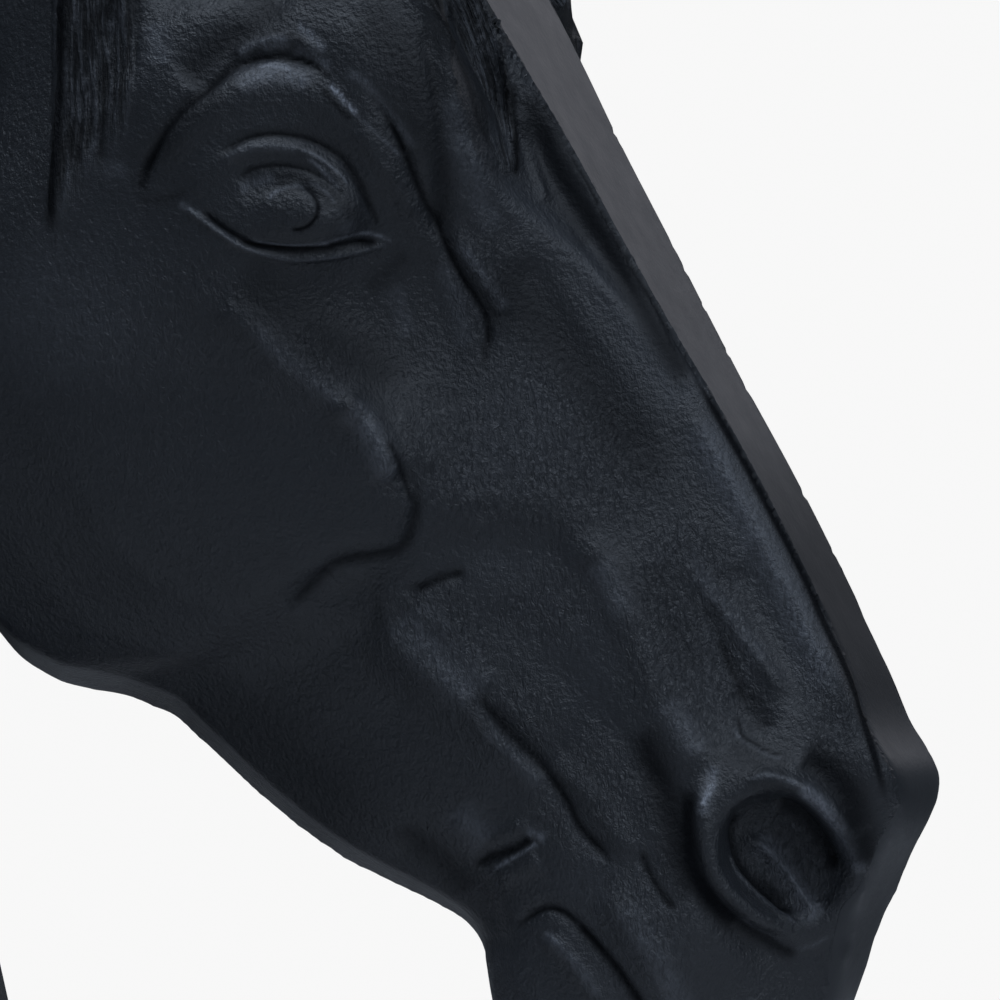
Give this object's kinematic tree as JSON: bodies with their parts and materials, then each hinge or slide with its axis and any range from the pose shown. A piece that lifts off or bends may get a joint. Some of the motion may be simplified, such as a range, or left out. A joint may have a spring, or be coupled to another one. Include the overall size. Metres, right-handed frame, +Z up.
{
  "type": "horse head bust",
  "caption": "Matte black horse head and neck, cast in one piece with mane, forelock, ears and carved face, cut flat below to stand on a surface.",
  "frame": {"origin": "on the flat underside, under the middle of the neck", "axes": "+Z up, +X the way the nose points, +Y the horse's left side"},
  "size_m": [0.3904, 0.1245, 0.3812],
  "materials": {
    "resin": "matte black cast resin with a fine uneven surface, smoother on the front plane of the face"
  },
  "bodies": {
    "root": {"horse_head": "resin"}
  },
  "joints": []
}
